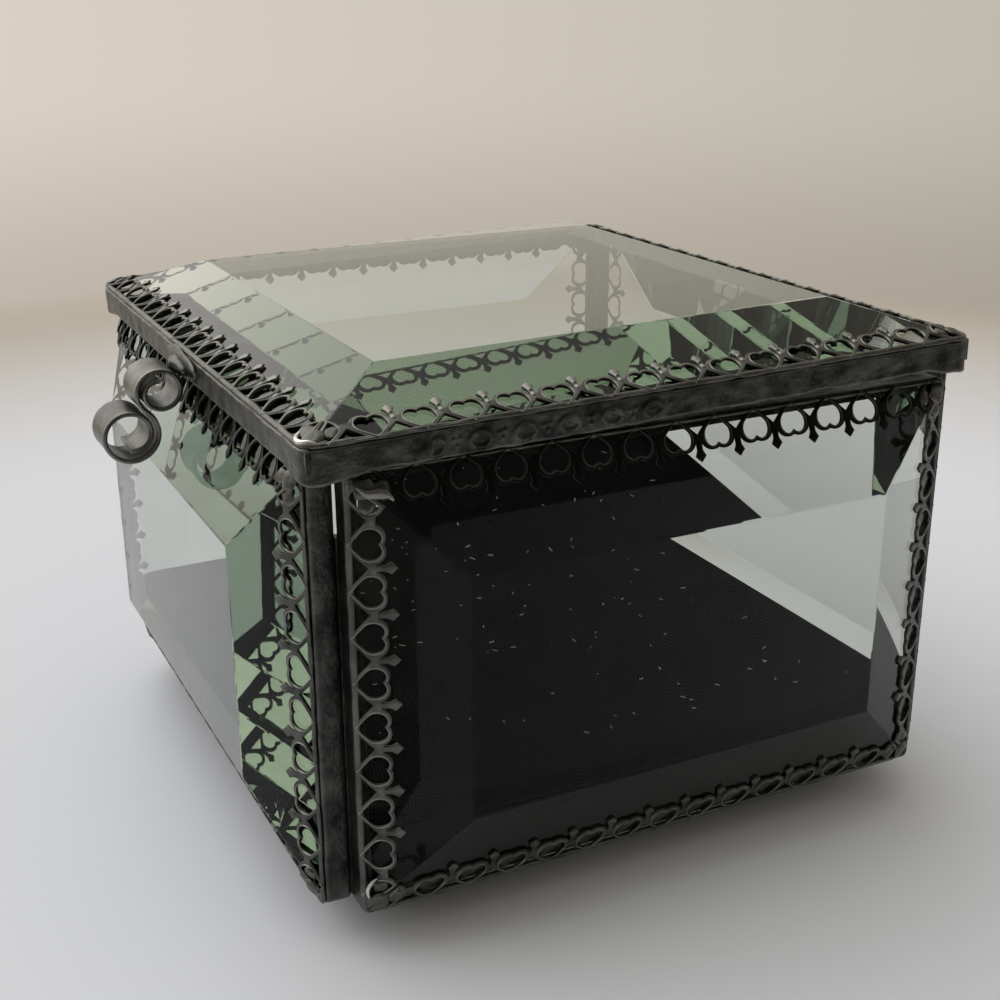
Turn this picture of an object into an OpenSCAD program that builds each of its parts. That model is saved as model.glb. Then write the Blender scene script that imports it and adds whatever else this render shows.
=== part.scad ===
// Glass casket with a hinged lid: five bevelled plates, each edged with metal
// banding and pierced heart lace, on a velvet-covered base.
// Frame: X to the right, Y to the rear, Z up. The origin is on the table, under the middle.

/* [Casket] */
// Outside width, across the left and right panels
body_w = 117; // [95:1:150]
// Outside depth, across the front and rear panels
body_d = 113.6; // [95:0.1:150]
// Height of the four side panels
panel_h = 70.1; // [56:0.1:110]
// Height of the panels' lower edges above the table
ground_gap = 7.6; // [3:0.1:14]
// Open slit between the ends of two neighbouring panels
corner_slit = 0.15; // [0.1:0.05:0.8]

/* [Glass] */
// Thickness of a plate at its rim
rim_t = 3.6; // [2.5:0.1:5]
// How far the flat middle of a side panel stands above its rim
crown = 6.5; // [3:0.1:7]
// The same for the front plate, which was ground from thicker glass
front_crown = 7.2; // [3:0.1:8]
// The same for the lid, whose bevel is flatter
lid_crown = 5.8; // [3:0.1:7]
// Width of the bevel on a side panel
side_bevel = 15.2; // [10:0.1:18]
// Width of the bevel on the lid
lid_bevel = 16.3; // [10:0.1:18]

/* [Edge banding] */
// Thickness of the metal banding
band_t = 0.45; // [0.3:0.05:0.7]
// Clearance between banding and glass
seat = 0.05; // [0.02:0.01:0.1]
// Width of the banding's return on the inner face of the glass
foil_w = 3.2; // [2:0.1:5]

/* [Lace] */
// Distance from one heart to the next, before it is fitted to the edge
lace_pitch = 6.95; // [6.2:0.05:9]
// Thickness of the pierced strip
lace_t = 0.5; // [0.3:0.05:0.8]
// Width of the plain rail along the edge
rail_w = 0.6; // [0.5:0.05:1]
// Radius of the two lobes of a heart
lobe_r = 1.45; // [0.9:0.05:1.6]
// Distance of a lobe's centre from the heart's axis
lobe_x = 1.05; // [0.8:0.05:1.3]
// Distance of a lobe's centre from the edge
lobe_y = 3.4; // [3:0.05:4]
// Width of the strap round a heart's lobes
strap_w = 0.55; // [0.4:0.05:0.8]
// Width of the foot on which a heart's point stands
foot_w = 2.4; // [2:0.1:4]
// Reach of a finial's tip from the edge
finial_l = 7; // [6.6:0.1:9]
// Width of a finial across its tip
finial_w = 1.8; // [1.4:0.1:2.4]

/* [Lid] */
// Overhang of the lid past the left and right panels
lid_over = 2; // [0:0.1:3]
// Overhang of the lid past the front panel
front_over = 1.6; // [0:0.1:3]
// Step between the rear panel's face and the lid, above which the hinge lies
hinge_step = 1.2; // [0.6:0.1:2]
// Rise of the lid towards its hinge, in degrees
lid_tilt = 1.1; // [0.8:0.1:1.6]
// Gap between the lid's front edge and the panels' upper edges
lid_gap = 0.3; // [0.2:0.05:0.6]

/* [Base] */
// Height of the velvet above the panels' lower edges
base_rise = 14.8; // [8:0.1:20]
// Thickness of the velvet pad
pad_t = 3; // [2:0.5:5]
// Clearance between the base and the panels
base_clear = 0.3; // [0.2:0.05:0.6]
// Height of the base board's underside above the panels' lower edges
board_lift = 1; // [0.5:0.1:3]
// Inset of the foot board from the outside of the panels
foot_inset = 11.4; // [8:0.2:20]

/* [Solder] */
// Radius of the solder bead in an inner corner
bead_r = 2.4; // [1.5:0.1:3.5]
// Length of a front corner's open top, above its bead
bead_drop = 11; // [4:0.5:20]

/* [Hinge] */
// Height of the lid's underside above the hinge axis
hinge_sink = 0.9; // [0.6:0.1:1.2]
// Diameter of the hinge pin
pin_d = 1.6; // [1.2:0.1:2]
// Radial clearance of the pin in its tubes
pin_clear = 0.05; // [0.03:0.01:0.1]
// Outside diameter of the hinge tubes
tube_d = 3.2; // [2.8:0.1:4]
// Length of the whole hinge
hinge_l = 90; // [60:2:94]
// Clearance between the body's tubes and the edge of the lid
hinge_clear = 0.3; // [0.2:0.05:0.6]
// Gap between two neighbouring tubes
tube_gap = 0.4; // [0.3:0.05:0.8]
// Length of pin that shows past the tubes at each end
pin_tail = 1.2; // [0.6:0.1:2]

/* [Handle] */
// Width of the scroll's ribbon
ribbon_w = 8.6; // [6:0.2:12]
// Thickness of the ribbon
ribbon_t = 0.7; // [0.5:0.05:0.9]
// Radius of the upper scroll
upper_r = 3.7; // [3:0.1:4.2]
// Radius of the lower scroll
lower_r = 4.5; // [3.5:0.1:5.5]
// How much the radius shrinks after half a turn
curl_step = 0.55; // [0.5:0.05:0.7]
// Angle below the horizontal at which the lower scroll hangs from the upper one
handle_lean = 50; // [35:1:65]
// Distance of the upper scroll's centre from the lid's edge
handle_out = 5.1; // [4.9:0.1:6]
// Drop of the upper scroll's centre below the lid's underside
handle_drop = 1.5; // [1.2:0.1:2.3]

/* [Hidden] */
$fn = 48;
PATINA = "#55524c";
GLASS = [0.68, 0.78, 0.7, 0.45];
VELVET = "#15161a";

// glass to the outside of its banding, along the plate
edge_m = band_t + seat;
// foil on the inner face, measured from the glass
foil_z = band_t + seat;
// lace at the very edge: its underside and its outer face, from the rim's outer face
function lace_under(slope) = seat / cos(atan(slope)) - edge_m * slope;
function lace_face(slope) = lace_under(slope) + lace_t / cos(atan(slope));
// outer edge of the banding's web, from the glass's inner face
function web_top(slope) = rim_t + lace_under(slope) - seat;
// thickness of an edged rim, from the foil to the lace's face
edge_t = foil_z + rim_t + lace_face(crown / side_bevel);

// panel sizes over their banding
front_w = body_w - 2 * (edge_t + corner_slit);
side_w = body_d - 2 * (edge_t + corner_slit);
lid_w = body_w + 2 * lid_over;
lid_d = body_d + front_over - hinge_step;
panel_top = ground_gap + panel_h;
lid_z = panel_top + lid_gap;
// inner metal faces of the side panels
inner_x = body_w / 2 - edge_t;
inner_y = body_d / 2 - edge_t;
// overcut of the cutters
over = 1;

// ---- one plate: inner face on z = 0, w by h over its banding ----
// cross-section of a bevelled plate, span wide, for extruding
module plate_profile(span, bevel, rise) {
    half = span / 2 - edge_m;
    polygon([[-half, 0], [half, 0], [half, rim_t], [half - bevel, rim_t + rise],
        [bevel - half, rim_t + rise], [-half, rim_t]]);
}

module plate(w, h, bevel, rise) {
    intersection() {
        translate([0, h / 2, 0]) rotate([90, 0, 0]) linear_extrude(h) plate_profile(w, bevel, rise);
        translate([-w / 2, 0, 0]) rotate([90, 0, 90]) linear_extrude(w) plate_profile(h, bevel, rise);
    }
}

// banding: a web round the rim with a narrow foil on the inner face
module banding(w, h, slope) {
    difference() {
        translate([-w / 2, -h / 2, -foil_z]) cube([w, h, foil_z + web_top(slope)]);
        translate([-w / 2 + band_t, -h / 2 + band_t, -seat]) cube([w - 2 * band_t, h - 2 * band_t, crown]);
        translate([-w / 2 + foil_w, -h / 2 + foil_w, -foil_z - over])
            cube([w - 2 * foil_w, h - 2 * foil_w, crown]);
    }
}

// ---- lace: pierced strip in the plane, along X, its edge on y = 0 ----
heart_tip = rail_w + 0.15;
// point where the side of a heart leaves a lobe for its tip
lobe_d = norm([lobe_x, lobe_y - heart_tip]);
tangent_a = atan2(heart_tip - lobe_y, -lobe_x) + acos(lobe_r / lobe_d);
tangent_x = lobe_x + lobe_r * cos(tangent_a);
tangent_y = lobe_y + lobe_r * sin(tangent_a);
// solid strip between rail and lobes, before it is pierced
web_h = lobe_y + lobe_r / 2;
hub_apex = lobe_y - strap_w;
finial_neck = finial_w / 2;
finial_shoulder = finial_l - finial_w / 2;

module heart_hole() {
    for (s = [-1, 1]) translate([s * lobe_x, lobe_y]) circle(lobe_r);
    polygon([[0, heart_tip], [tangent_x, tangent_y], [lobe_x, lobe_y], [0, lobe_y + lobe_r / 2],
        [-lobe_x, lobe_y], [-tangent_x, tangent_y]]);
}

// three-cornered hole between two hearts and the rail
module hub_hole(pitch) {
    half = (pitch - foot_w) / 2;
    polygon([[-half, rail_w], [half, rail_w], [0, hub_apex]]);
}

module finial() {
    polygon([[-finial_neck / 2, lobe_y], [finial_neck / 2, lobe_y],
        [finial_neck / 2, finial_shoulder - finial_neck], [finial_w / 2, finial_shoulder], [0, finial_l],
        [-finial_w / 2, finial_shoulder], [-finial_neck / 2, finial_shoulder - finial_neck]]);
}

// the strip's plan, trimmed to mitres that meet the next strip at the corner
module mitre(l, c, depth, inset) {
    polygon([[-l / 2 + inset, 0], [l / 2 - inset, 0], [l / 2 - inset - depth * c, depth],
        [-l / 2 + inset + depth * c, depth]]);
}

module lace_plan(l, slope) {
    n = round(l / lace_pitch);
    pitch = l / n;
    c = cos(atan(slope));
    cells = [for (i = [0:n - 1]) (i - (n - 1) / 2) * pitch];
    hubs = [for (i = [1:n - 1]) (i - n / 2) * pitch];
    difference() {
        intersection() {
            union() {
                translate([-l / 2, 0]) square([l, web_h]);
                for (x = cells) for (s = [-1, 1])
                    translate([x + s * lobe_x, lobe_y]) circle(lobe_r + strap_w);
                for (x = hubs) if (abs(x) + finial_w + finial_l * c < l / 2) translate([x, 0]) finial();
            }
            mitre(l, c, finial_l + over, 0.05);
        }
        intersection() {
            union() {
                for (x = cells) translate([x, 0]) heart_hole();
                for (x = hubs) translate([x, 0]) hub_hole(pitch);
            }
            mitre(l, c, finial_l + over, rail_w * 1.3);
        }
    }
}

// a strip laid on the bevel of a plate, along the edge at y = 0
module lace_strip(l, slope) {
    translate([0, 0, rim_t + lace_under(slope)]) rotate([atan(slope), 0, 0])
        linear_extrude(lace_t) lace_plan(l, slope);
}

// strip on one edge of a w by h plate: 0 bottom, 1 right, 2 top, 3 left
module lace_on(edge, w, h, slope) {
    long = edge % 2 == 0 ? w : h;
    reach = edge % 2 == 0 ? h : w;
    rotate([0, 0, 90 * edge]) translate([0, -reach / 2, 0]) lace_strip(long, slope);
}

// ---- places of the five plates ----
// the lid's own frame: its underside, on the X axis at the front edge
lid_y = -body_d / 2 - front_over;
module at_lid() {
    translate([0, lid_y, lid_z]) rotate([lid_tilt, 0, 0]) children();
}
module at_panel(name) {
    lift = ground_gap + panel_h / 2;
    if (name == "front") translate([0, -inner_y, lift]) rotate([90, 0, 0]) translate([0, 0, foil_z]) children();
    if (name == "rear") translate([0, inner_y, lift]) rotate([90, 0, 180]) translate([0, 0, foil_z]) children();
    if (name == "right") translate([inner_x, 0, lift]) rotate([90, 0, 90]) translate([0, 0, foil_z]) children();
    if (name == "left") translate([-inner_x, 0, lift]) rotate([90, 0, -90]) translate([0, 0, foil_z]) children();
    if (name == "lid") at_lid() translate([0, lid_d / 2, foil_z]) children();
}
function plate_w(name) = name == "lid" ? lid_w : name == "front" || name == "rear" ? front_w : side_w;
function plate_h(name) = name == "lid" ? lid_d : panel_h;
function plate_bevel(name) = name == "lid" ? lid_bevel : side_bevel;
function plate_crown(name) = name == "lid" ? lid_crown : name == "front" ? front_crown : crown;
function plate_slope(name) = plate_crown(name) / plate_bevel(name);

module glass(name) {
    color(GLASS) at_panel(name) plate(plate_w(name), plate_h(name), plate_bevel(name), plate_crown(name));
}
module band(name) {
    color(PATINA) at_panel(name) banding(plate_w(name), plate_h(name), plate_slope(name));
}
module lace(name, edge) {
    color(PATINA) at_panel(name) lace_on(edge, plate_w(name), plate_h(name), plate_slope(name));
}

// ---- base ----
module base_outline() {
    half_x = inner_x - base_clear;
    half_y = inner_y - base_clear;
    difference() {
        square([2 * half_x, 2 * half_y], center = true);
        for (sx = [-1, 1]) for (sy = [-1, 1])
            translate([sx * inner_x, sy * inner_y]) circle(bead_r + base_clear);
    }
}
module foot_board() {
    half_x = body_w / 2 - foot_inset;
    half_y = body_d / 2 - foot_inset;
    color(VELVET) translate([-half_x, -half_y, 0]) cube([2 * half_x, 2 * half_y, ground_gap + board_lift]);
}
module base_board() {
    color(VELVET) translate([0, 0, ground_gap + board_lift])
        linear_extrude(base_rise - pad_t - board_lift) base_outline();
}
module velvet_pad() {
    color(VELVET) translate([0, 0, ground_gap + base_rise - pad_t]) linear_extrude(pad_t) base_outline();
}

// ---- solder bead down one inner corner: sx and sy are the corner's signs ----
module corner_bead(sx, sy) {
    low = ground_gap + board_lift;
    drop = sy < 0 ? bead_drop : lid_gap;
    color(PATINA) translate([sx * inner_x, sy * inner_y, low]) intersection() {
        cylinder(r = bead_r, h = panel_h - board_lift - drop);
        translate([sx > 0 ? -bead_r - over : 0, sy > 0 ? -bead_r - over : 0, -over])
            cube([bead_r + over, bead_r + over, panel_h]);
    }
}

// ---- hinge: pin along X, behind the joint between lid and rear panel ----
tube_r = tube_d / 2;
// the axis in the lid's own frame, then in the casket's
own_y = lid_d + tube_r + hinge_clear;
own_z = -hinge_sink;
axis_y = lid_y + own_y * cos(lid_tilt) - own_z * sin(lid_tilt);
axis_z = lid_z + own_y * sin(lid_tilt) + own_z * cos(lid_tilt);
tubes = 5;
tube_l = (hinge_l - (tubes - 1) * tube_gap) / tubes;
bore_d = pin_d + 2 * pin_clear;

// every other tube of the row, from the first or the second
module tube_row(first) {
    for (i = [first:2:tubes - 1]) translate([-hinge_l / 2 + i * (tube_l + tube_gap), 0, 0]) children();
}
// a tube with the solder that joins it, outline on the YZ plane
module soldered_tube(outline) {
    rotate([90, 0, 90]) difference() {
        linear_extrude(tube_l) union() {
            circle(r = tube_r);
            polygon(outline);
        }
        translate([0, 0, -over]) cylinder(d = bore_d, h = tube_l + 2 * over);
    }
}
// the lid's tubes meet the outer face of its banding
module hinge_tubes_lid() {
    face = lid_d - own_y;
    color(PATINA) at_lid() translate([0, own_y, own_z]) tube_row(0)
        soldered_tube([[face, hinge_sink], [0, 0], [tube_r / 2, tube_r * sin(60)], [face, hinge_sink + tube_r]]);
}
// the body's tubes stand on the banding of the rear panel, clear of its lace
module hinge_tubes_body() {
    face = inner_y + foil_z + web_top(plate_slope("rear")) - axis_y;
    top = panel_top - axis_z;
    color(PATINA) translate([0, axis_y, axis_z]) tube_row(1)
        soldered_tube([[face - tube_r, top], [-tube_r * cos(30), -tube_r / 2], [tube_r * cos(30), -tube_r / 2],
            [face, top + lace_t], [face, top]]);
}
module hinge_pin() {
    long = hinge_l + 2 * pin_tail;
    color(PATINA) translate([-long / 2, axis_y, axis_z]) rotate([0, 90, 0]) cylinder(d = pin_d, h = long);
}

// ---- handle: an S of flat ribbon, drawn on the YZ plane with -Y to the left ----
reach = upper_r + lower_r;
// overlap where two turns of ribbon meet
lap = 0.02;

// half a turn of ribbon, on the upper or the lower side of the X axis
module half_turn(r, side) {
    intersection() {
        difference() {
            circle(r + ribbon_t / 2);
            circle(r - ribbon_t / 2);
        }
        translate([-2 * r, side > 0 ? -lap : -2 * r]) square([4 * r, 2 * r + lap]);
    }
}
// a scroll that starts at r on the +X side, passes below and curls in
module scroll(r) {
    inner = r - curl_step;
    tip = inner - curl_step - ribbon_t / 2;
    half_turn(r, -1);
    translate([-curl_step, 0]) half_turn(inner, 1);
    translate([ribbon_t / 2, 0]) intersection() {
        half_turn(tip, -1);
        translate([0, -2 * r]) square(4 * r);
    }
}
// solder that fills the wedge between the upper scroll and the lid's banding
module handle_solder() {
    polygon(concat([for (a = [85:-12:37]) upper_r * [cos(a), sin(a)]],
        [[handle_out, upper_r * 0.6], [handle_out, upper_r + ribbon_t]]));
}
module scroll_handle() {
    color(PATINA) at_lid() translate([-ribbon_w / 2, -handle_out, -handle_drop])
        rotate([90, 0, 90]) linear_extrude(ribbon_w) union() {
            rotate(180 + handle_lean) {
                scroll(upper_r);
                translate([reach, 0]) rotate(180) scroll(lower_r);
            }
            handle_solder();
        }
}

foot_board();
base_board();
velvet_pad();
glass("front");  // front_glass
glass("rear");  // rear_glass
glass("left");  // left_glass
glass("right");  // right_glass
glass("lid");  // lid_glass
band("front");  // front_band
band("rear");  // rear_band
band("left");  // left_band
band("right");  // right_band
band("lid");  // lid_band
lace("front", 0);  // front_lace_bottom
lace("front", 1);  // front_lace_right
lace("front", 2);  // front_lace_top
lace("front", 3);  // front_lace_left
lace("rear", 0);  // rear_lace_bottom
lace("rear", 1);  // rear_lace_right
lace("rear", 2);  // rear_lace_top
lace("rear", 3);  // rear_lace_left
lace("left", 0);  // left_lace_bottom
lace("left", 1);  // left_lace_right
lace("left", 2);  // left_lace_top
lace("left", 3);  // left_lace_left
lace("right", 0);  // right_lace_bottom
lace("right", 1);  // right_lace_right
lace("right", 2);  // right_lace_top
lace("right", 3);  // right_lace_left
lace("lid", 0);  // lid_lace_front
lace("lid", 1);  // lid_lace_right
lace("lid", 2);  // lid_lace_rear
lace("lid", 3);  // lid_lace_left
corner_bead(-1, -1);  // bead_front_left
corner_bead(1, -1);  // bead_front_right
corner_bead(-1, 1);  // bead_rear_left
corner_bead(1, 1);  // bead_rear_right
hinge_tubes_body();
hinge_tubes_lid();
hinge_pin();
scroll_handle();
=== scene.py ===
"""Looks of the bevelled glass casket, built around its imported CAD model."""

import math
import random

import bmesh
import bpy
from mathutils import Matrix, Vector, noise


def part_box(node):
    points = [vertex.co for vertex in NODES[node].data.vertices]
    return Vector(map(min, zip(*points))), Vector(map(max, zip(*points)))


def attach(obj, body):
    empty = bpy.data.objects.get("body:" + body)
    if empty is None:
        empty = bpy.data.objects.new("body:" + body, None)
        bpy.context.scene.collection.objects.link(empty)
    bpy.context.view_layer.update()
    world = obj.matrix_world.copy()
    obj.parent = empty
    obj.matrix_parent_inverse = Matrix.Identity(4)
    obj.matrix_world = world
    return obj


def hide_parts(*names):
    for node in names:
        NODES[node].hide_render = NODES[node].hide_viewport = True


bl_info = {
    "name": "Glass Casket",
    "version": (1, 0, 0),
    "blender": (4, 5, 0),
    "location": "View3D > Sidebar > Casket",
    "description": "Dresses a bevelled glass casket with its glass, solder, heart lace and velvet",
    "category": "Object",
}

MM = 0.001
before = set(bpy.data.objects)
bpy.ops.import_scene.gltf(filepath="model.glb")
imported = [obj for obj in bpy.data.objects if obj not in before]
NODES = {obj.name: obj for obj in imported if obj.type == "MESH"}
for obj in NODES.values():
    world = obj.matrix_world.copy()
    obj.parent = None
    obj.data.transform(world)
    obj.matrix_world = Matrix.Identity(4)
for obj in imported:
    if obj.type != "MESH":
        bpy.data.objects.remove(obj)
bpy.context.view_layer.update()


# ---- plates: where each of the five glass plates stands ----


class Plate:
    """One bevelled plate: its body and its axes, with u along it, v up it and n out of it."""

    edge = 0.5 * MM  # banding and its seat, past the glass

    def __init__(self, name, body, u, out):
        self.name, self.body = name, body
        mesh = NODES[name + "_glass"].data
        faces = [face for face in mesh.polygons if face.normal.dot(Vector(out)) > 0.99]
        self.n = max(faces, key=lambda face: face.area).normal.copy()
        self.u = Vector(u)
        self.v = self.n.cross(self.u)
        self.turn = Matrix((self.u, self.v, self.n)).transposed()
        points = [self.turn.transposed() @ vertex.co for vertex in mesh.vertices]
        low = Vector([min(p[i] for p in points) for i in range(3)])
        high = Vector([max(p[i] for p in points) for i in range(3)])
        flat = max(p.x for p in points if high.z - p.z < 0.01 * MM)
        rim = max(p.z for p in points if high.x - p.x < 0.01 * MM)
        self.half_u, self.half_v = (high.x - low.x) / 2 + self.edge, (high.y - low.y) / 2 + self.edge
        self.bevel, self.crown = high.x - flat, high.z - rim
        self.rim = rim - low.z + self.edge
        self.slope = self.crown / self.bevel
        self.corner = (2.8 if body == "lid" else 1.1) * MM  # rounding of the banding's corners
        middle = (low + high) / 2
        self.origin = self.turn @ Vector((middle.x, middle.y, low.z - self.edge))

    def matrix(self):
        """Local frame of the plate: the inner face of its banding lies on local z = 0."""
        return Matrix.Translation(self.origin) @ self.turn.to_4x4()

    def side(self, edge):
        """Direction along an edge, direction inwards, and the edge's distance from the middle."""
        return (
            (self.u, self.v, self.half_v),
            (self.v, -self.u, self.half_u),
            (-self.u, -self.v, self.half_v),
            (-self.v, self.u, self.half_u),
        )[edge]

    def strip(self, edge):
        """Frame of the strip on an edge: x along it, y up the bevel and z off the glass."""
        along, inward, reach = self.side(edge)
        lean = math.atan(self.slope)
        up = inward * math.cos(lean) + self.n * math.sin(lean)
        off = self.n * math.cos(lean) - inward * math.sin(lean)
        turn = Matrix((along, up, off)).transposed().to_4x4()
        return Matrix.Translation(self.origin - inward * reach + self.n * self.rim) @ turn


PLATES = {
    plate.name: plate
    for plate in (
        Plate("front", "box", (1, 0, 0), (0, -1, 0)),
        Plate("rear", "box", (-1, 0, 0), (0, 1, 0)),
        Plate("right", "box", (0, 1, 0), (1, 0, 0)),
        Plate("left", "box", (0, -1, 0), (-1, 0, 0)),
        Plate("lid", "lid", (1, 0, 0), (0, 0, 1)),
    )
}
LID_EDGES = ("front", "right", "rear", "left")
PANEL_EDGES = ("bottom", "right", "top", "left")


# ---- small helpers ----


def linear(hex_colour):
    """Linear RGBA of an sRGB hex colour such as 8a9b7c."""
    values = [int(hex_colour[i : i + 2], 16) / 255 for i in (0, 2, 4)]
    return tuple(v / 12.92 if v <= 0.04045 else ((v + 0.055) / 1.055) ** 2.4 for v in values) + (1.0,)


def add(tree, kind, settings=None, inputs=None, links=None):
    """Adds a shader node: settings are its own properties, inputs are socket values, links are sources."""
    made = tree.nodes.new("ShaderNode" + kind)
    for key, value in (settings or {}).items():
        setattr(made, key, value)
    for key, value in (inputs or {}).items():
        made.inputs[key].default_value = value
    for key, source in (links or {}).items():
        tree.links.new(source, made.inputs[key])
    return made


def new_material(name):
    """A material and its empty node tree."""
    material = bpy.data.materials.new(name)
    material.use_nodes = True
    material.node_tree.nodes.clear()
    return material, material.node_tree


def dress(piece, material):
    """Gives a piece its only material."""
    piece.data.materials.clear()
    piece.data.materials.append(material)


def add_object(name, data, matrix=None):
    """Puts a mesh, a curve or a camera into the scene."""
    made = bpy.data.objects.new(name, data)
    bpy.context.scene.collection.objects.link(made)
    if matrix is not None:
        made.matrix_world = matrix
    return made


def add_piece(name, bm, body, slot, material, *replaced, smooth=True, angle=40):
    """Turns a bmesh in the casket's frame into a piece that rides on a body."""
    bmesh.ops.remove_doubles(bm, verts=bm.verts, dist=0.002 * MM)
    bmesh.ops.recalc_face_normals(bm, faces=bm.faces)
    mesh = bpy.data.meshes.new(name)
    bm.to_mesh(mesh)
    bm.free()
    if smooth:
        mesh.shade_smooth()
        mesh.set_sharp_from_angle(angle=math.radians(angle))
    piece = add_object(name, mesh)
    dress(piece, material)
    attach(piece, body)
    if replaced:
        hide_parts(*replaced)
    return piece


def wander(point, size_mm, seed=0.0):
    """Smooth random value from -1 to 1 with features of about size_mm."""
    return noise.noise(point / (size_mm * MM) + Vector((seed, 0.37 * seed, 7.1)))


def rings_to_faces(bm, rings, closed):
    """Quads between neighbouring rings of vertices; closed joins the last ring to the first."""
    pairs = list(zip(rings, rings[1:] + rings[:1])) if closed else list(zip(rings, rings[1:]))
    for one, two in pairs:
        for i in range(len(one)):
            corners = (one[i], one[(i + 1) % len(one)], two[(i + 1) % len(two)], two[i])
            if len({tuple(corner.co) for corner in corners}) > 2:
                bm.faces.new(corners)


def sweep(bm, points, up, section, closed=False):
    """Carries a section along points. section(i, point) gives (sideways, upwards) offsets."""
    rings = []
    count = len(points)
    for i, point in enumerate(points):
        back = points[i - 1] if i or closed else points[0]
        front = points[(i + 1) % count] if i < count - 1 or closed else points[-1]
        ahead = (front - back).normalized()
        side = ahead.cross(up).normalized()
        over = side.cross(ahead)
        rings.append([bm.verts.new(point + side * x + over * y) for x, y in section(i, point)])
    rings_to_faces(bm, rings, closed)
    if not closed:
        bm.faces.new(rings[0])
        bm.faces.new(rings[-1])


def disc(radius, sides):
    """Offsets of a round section."""
    turns = [2 * math.pi * k / sides for k in range(sides)]
    return [(radius * math.cos(a), radius * math.sin(a)) for a in turns]


def lump(bm, matrix, size_mm, seed, rough, detail=2):
    """A lump of solder: a ball stretched to size, with an uneven surface."""
    made = bmesh.ops.create_icosphere(bm, subdivisions=detail, radius=1.0)
    for vertex in made["verts"]:
        swell = 1 + rough * noise.noise(vertex.co * 1.7 + Vector((seed, seed * 0.7, 3.3)))
        vertex.co = matrix @ Vector([vertex.co[i] * size_mm[i] * MM * swell for i in range(3)])


def rounded_copy(bm, node, width, segments):
    """Adds the shape of a CAD node with its edges rounded."""
    copy = bmesh.new()
    copy.from_mesh(NODES[node].data)
    bmesh.ops.remove_doubles(copy, verts=copy.verts, dist=0.002 * MM)
    bmesh.ops.dissolve_limit(copy, angle_limit=math.radians(1), verts=copy.verts, edges=copy.edges)
    sharp = [e for e in copy.edges if len(e.link_faces) == 2 and e.calc_face_angle() > math.radians(8)]
    bmesh.ops.bevel(
        copy, geom=sharp, offset=width, segments=segments, profile=0.5, affect="EDGES", clamp_overlap=True
    )
    mesh = bpy.data.meshes.new("copy")
    copy.to_mesh(mesh)
    copy.free()
    bm.from_mesh(mesh)
    bpy.data.meshes.remove(mesh)


def stations(half_u, half_v, radius, step, arc=6, fine=None):
    """Places round a rectangle with rounded corners: centre, outward direction, corner signs.

    fine is (edge, from, to, step), a stretch of one edge that needs closer places.
    """
    made = []
    sides = (
        ((1, 0), (0, -1), half_u, half_v),
        ((0, 1), (1, 0), half_v, half_u),
        ((-1, 0), (0, 1), half_u, half_v),
        ((0, -1), (-1, 0), half_v, half_u),
    )
    for k, (forward, outward, half, reach) in enumerate(sides):
        along, out = Vector(forward), Vector(outward)
        long = half - radius
        count = round(2 * long / step)
        spots = [-long + 2 * long * i / count for i in range(count + 1)]
        if fine and fine[0] == k:
            start, end, close = fine[1:]
            count = round((end - start) / close)
            closer = [start + (end - start) * i / count for i in range(count + 1)]
            spots = [s for s in spots if s < start] + closer + [s for s in spots if s > end]
        made += [(along * s + out * (reach - radius), out, None) for s in spots]
        corner = along * long + out * (reach - radius)
        for i in range(1, arc):
            turn = math.pi / 2 * i / arc
            made.append((corner, out * math.cos(turn) + along * math.sin(turn), along + out))
    return made


def inset_point(station, radius, inset):
    """The point of a station that lies inset from the outline."""
    centre, out, signs = station
    if signs is not None and inset > radius:
        return centre - signs * (inset - radius)
    return centre + out * (radius - inset)


def ring(bm, plate, places, profile, swell):
    """Carries a closed profile of (inset, height, how much it swells) round a plate."""
    rings = []
    matrix = plate.matrix()
    for place in places:
        verts = []
        for inset, height, share in profile:
            flat = inset_point(place, plate.corner, inset)
            point = Vector((flat.x, flat.y, height))
            if share:
                push = share * swell(point, place[1])
                point += Vector((place[1].x, place[1].y, 0)) * push
            verts.append(bm.verts.new(matrix @ point))
        rings.append(verts)
    rings_to_faces(bm, rings, True)


# ---- materials ----

BLOTCH = 5 * MM  # size of the patches in which patina takes
PILE = 0.35 * MM  # one tuft of velvet
NAP = 22 * MM  # stretch of pile that is brushed one way
TUFT = 6 * MM  # stretch over which a lint fibre changes shade
PEEL = 0.8 * MM  # dimples in a melamine face


def float_glass():
    """Polished soda-lime float glass. Iron in it makes long paths green: clear flats, green bevels."""
    s = bpy.context.scene.casket_glass
    material, tree = new_material("float_glass")
    shader = add(tree, "BsdfPrincipled", inputs={
        "Base Color": (1, 1, 1, 1),
        "Roughness": 0.0,
        "IOR": s.ior,
        "Transmission Weight": 1.0,
        "Specular Tint": (s.mirror, s.mirror, s.mirror, 1),
    })
    depth = add(tree, "VolumeAbsorption", inputs={"Color": linear(s.tint), "Density": s.depth_tint})
    add(tree, "OutputMaterial", links={"Surface": shader.outputs[0], "Volume": depth.outputs[0]})
    return material


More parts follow.
